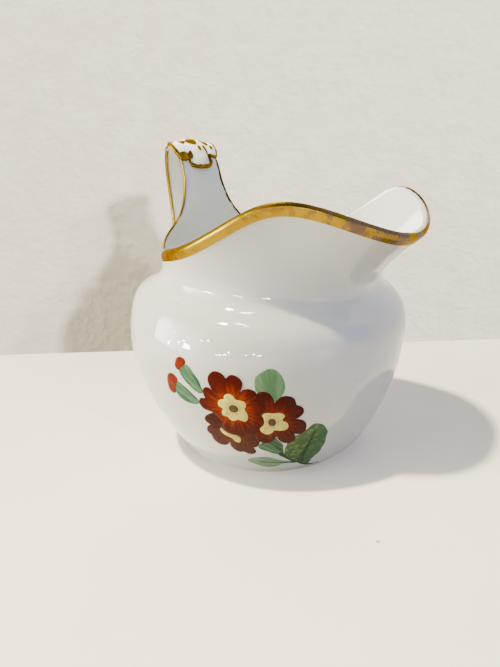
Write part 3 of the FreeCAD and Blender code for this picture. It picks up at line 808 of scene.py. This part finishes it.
keep(grit_piece, grit)

# ------------------------------------------------------------------ stage
# A pale painted shelf with a little dirt on it, against a plastered wall. Both are see-through
# from behind, and neither throws back much light on the jug.
STAGE_SIZE = 3.2
WALL_AWAY = Vector((-0.640, 0.768, 0.0))
WALL_GAP = 0.091


def little_glow(finish, colour, share):
    """Keeps a stage surface from lighting the jug much, and from hiding it from behind."""
    behind = finish.add("NewGeometry").outputs["Backfacing"]
    finish.link(finish.maths("SUBTRACT", 1.0, behind), "Alpha")
    bounced = finish.add("LightPath").outputs["Is Diffuse Ray"]
    shaded = finish.mix(1.0, colour, (share, share, share, 1), "MULTIPLY")
    finish.link(finish.mix(bounced, colour, shaded), "Base Color")


def stage_plane(name, finish):
    """A wide plane of the stage, facing up, in its finish."""
    put_down()
    bpy.ops.mesh.primitive_plane_add(size=STAGE_SIZE, location=(0, 0, 0))
    plane = bpy.context.object
    plane.name = name
    dress(plane, finish)
    return plane


shelf_paint = Finish("shelf_paint")
seat = shelf_paint.seat()
soft_dirt = shelf_paint.noise(seat, 14.0, 5.0)
spots = shelf_paint.add("TexVoronoi", in_Vector=seat, in_Scale=75.0).outputs["Distance"]
rare = shelf_paint.noise(seat, 21.0, 1.0)
crumbs = shelf_paint.maths("MULTIPLY", shelf_paint.steps(spots, 0.05, 0.02),
                           shelf_paint.steps(rare, 0.55, 0.62))
paint = shelf_paint.mix(shelf_paint.steps(soft_dirt, 0.35, 0.75), (0.92, 0.87, 0.78, 1),
                        (0.87, 0.82, 0.73, 1))
little_glow(shelf_paint, shelf_paint.mix(crumbs, paint, (0.35, 0.31, 0.27, 1)), 0.18)
shelf_paint.link(shelf_paint.steps(soft_dirt, 0.3, 0.8, 0.42, 0.6), "Roughness")
shelf_paint.link(shelf_paint.relief(soft_dirt, 0.15, 0.4 * MM), "Normal")
floor = stage_plane("shelf", shelf_paint)

wall_paint = Finish("wall_paint")
seat = wall_paint.seat()
stipple = wall_paint.noise(seat, 260.0, 4.0, 0.55)
roller = wall_paint.noise(seat, 85.0)
bumps = wall_paint.maths("ADD", stipple, wall_paint.maths("MULTIPLY", roller, 0.8))
plaster = wall_paint.mix(wall_paint.steps(roller, 0.3, 0.7), (0.52, 0.475, 0.395, 1),
                         (0.55, 0.505, 0.425, 1))
little_glow(wall_paint, plaster, 0.08)
wall_paint.link(wall_paint.relief(bumps, 0.6, 1.6 * MM), "Normal")
wall_paint.set(Roughness=0.75)
wall = stage_plane("wall", wall_paint)
wall.rotation_euler = (-WALL_AWAY).to_track_quat("Z", "Y").to_euler()
wall.location = Vector((AXIS_X, 0, 0)) + WALL_AWAY * WALL_GAP

# ------------------------------------------------------------------ light
# Soft daylight from the left, one warm lamp overhead, and lamps low on the right that draw the
# jug's shadow on the wall. The room's small lamps only show in the glaze, and one lamp behind
# lights the jug's far side.


def towards(azimuth, elevation):
    """The direction of an azimuth and an elevation in degrees."""
    a, e = math.radians(azimuth), math.radians(elevation)
    return Vector((math.cos(a) * math.cos(e), math.sin(a) * math.cos(e), math.sin(e)))


# The daylight is a few soft glows: azimuth, elevation, the cosines between which each grows
# from nothing to its full light, and its colour.
GLOWS = [(-150, 3, 0.82, 0.98, (17.8, 17.8, 17.6)), (-125, 8, 0.82, 0.98, (8.2, 8.0, 6.9)),
         (-150, 12, 0.35, 1.0, (1.34, 1.12, 0.1)), (18, 27, 0.35, 1.0, (0.84, 0.98, 1.50))]
world = bpy.data.worlds.new("room")
bpy.context.scene.world = world
world.use_nodes = True
room = Finish(tree=world.node_tree, results=world.node_tree.nodes["Background"].inputs)
facing = room.add("TexCoord").outputs["Generated"]
sky = (0.03, 0.03, 0.03, 1)
for azimuth, elevation, faint, full, colour in GLOWS:
    near = room.add("VectorMath", operation="DOT_PRODUCT", in_0=facing,
                    in_1=towards(azimuth, elevation)).outputs["Value"]
    sky = room.mix(room.steps(near, faint, full), sky, (*colour, 1), "ADD")
seen = room.add("LightPath").outputs["Is Camera Ray"]
room.link(room.mix(seen, sky, (0.80, 0.78, 0.74, 1)), "Color")


def lamp(name, place, size, watts, colour, lit=()):
    """A rectangular lamp, its place given as azimuth, elevation and metres from the jug.

    It lights only the lit pieces, if any are given, though anything may still shade them.
    """
    azimuth, elevation, distance = place
    data = bpy.data.lights.new(name, "AREA")
    data.shape = "RECTANGLE"
    data.size, data.size_y = size
    data.energy, data.color = watts, colour
    piece = bpy.data.objects.new(name, data)
    bpy.context.scene.collection.objects.link(piece)
    way = towards(azimuth, elevation)
    piece.location = Vector((AXIS_X, 0, 0.05)) + way * distance
    piece.rotation_euler = way.to_track_quat("Z", "Y").to_euler()
    if lit:
        group = bpy.data.collections.new(name + "_lights")
        for surface in lit:
            group.objects.link(surface)
        piece.light_linking.receiver_collection = group
    return piece


PLAIN = (1.0, 0.97, 0.93)
OVERHEAD = (-108, 69, 1.0)
BULB = (0.05, 0.05)
LOW_LAMP = (0.12, 0.12)
# The lamp overhead is three in one place, so that the shelf and the leaf take more of it.
lamp("overhead", OVERHEAD, BULB, 14.0, (1.0, 0.90, 0.55))
lamp("overhead_spill", OVERHEAD, BULB, 19.0, (1.0, 0.81, 0.51), (floor, leaf))
lamp("right_low", (-15, 15, 2.4), LOW_LAMP, 125.0, PLAIN, (wall,))
lamp("right_lower", (-5, 17, 2.4), LOW_LAMP, 44.0, PLAIN, (wall, floor))
lamp("overhead_on_leaf", OVERHEAD, BULB, 12.0, (1.0, 0.97, 0.9), (leaf,))
jug_pieces = [piece for piece in bpy.context.scene.objects
              if piece.type == "MESH" and piece not in (floor, wall)]
behind_jug = lamp("behind_the_jug", (140, 25, 1.2), (0.6, 0.6), 9.0, PLAIN, jug_pieces)
behind_jug.light_linking.blocker_collection = behind_jug.light_linking.receiver_collection

# The room's small lamps: azimuth, elevation, width, height and watts.
ROOM_LAMPS = [(-111, 4, 0.24, 0.17, 24.0), (-114, 8, 0.05, 0.05, 2.7), (-118, 5, 0.05, 0.12, 3.6),
              (-79, 2, 0.09, 0.06, 3.6), (-76, 5, 0.05, 0.05, 2.7), (-84, 1, 0.14, 0.03, 3.6),
              (-53, 1, 0.14, 0.05, 5.4), (-57, 3, 0.06, 0.04, 2.7), (-63, 2, 0.05, 0.03, 2.1),
              (-124, 12, 0.05, 0.05, 2.7), (-99, 15, 0.07, 0.05, 2.7), (-94, 17, 0.03, 0.08, 2.4),
              (-90, 78, 0.25, 0.08, 9.0), (-70, 74, 0.12, 0.05, 3.6), (-128, 2, 0.04, 0.10, 2.7)]
for k, (azimuth, elevation, width, height, watts) in enumerate(ROOM_LAMPS):
    small = lamp("room_lamp_%d" % k, (azimuth, elevation, 2.5), (width, height), watts, PLAIN)
    small.visible_diffuse = False

# ------------------------------------------------------------------ camera
# Held close, a hand's length away, a little above the rim and looking down at the painted
# flank, so that the near side looks large.
camera_data = bpy.data.cameras.new("camera")
camera = bpy.data.objects.new("camera", camera_data)
bpy.context.scene.collection.objects.link(camera)
camera_data.sensor_width, camera_data.lens = 36.0, 27.04
camera_data.clip_start = 0.01
camera.location = (AXIS_X + 0.1169, -0.1211, 0.0904)
camera.rotation_euler = (Matrix.Rotation(math.radians(46.06), 3, "Z")
                         @ Matrix.Rotation(math.radians(72.4), 3, "X")
                         @ Matrix.Rotation(math.radians(-3.9), 3, "Z")).to_euler()
bpy.context.scene.camera = camera

put_down()
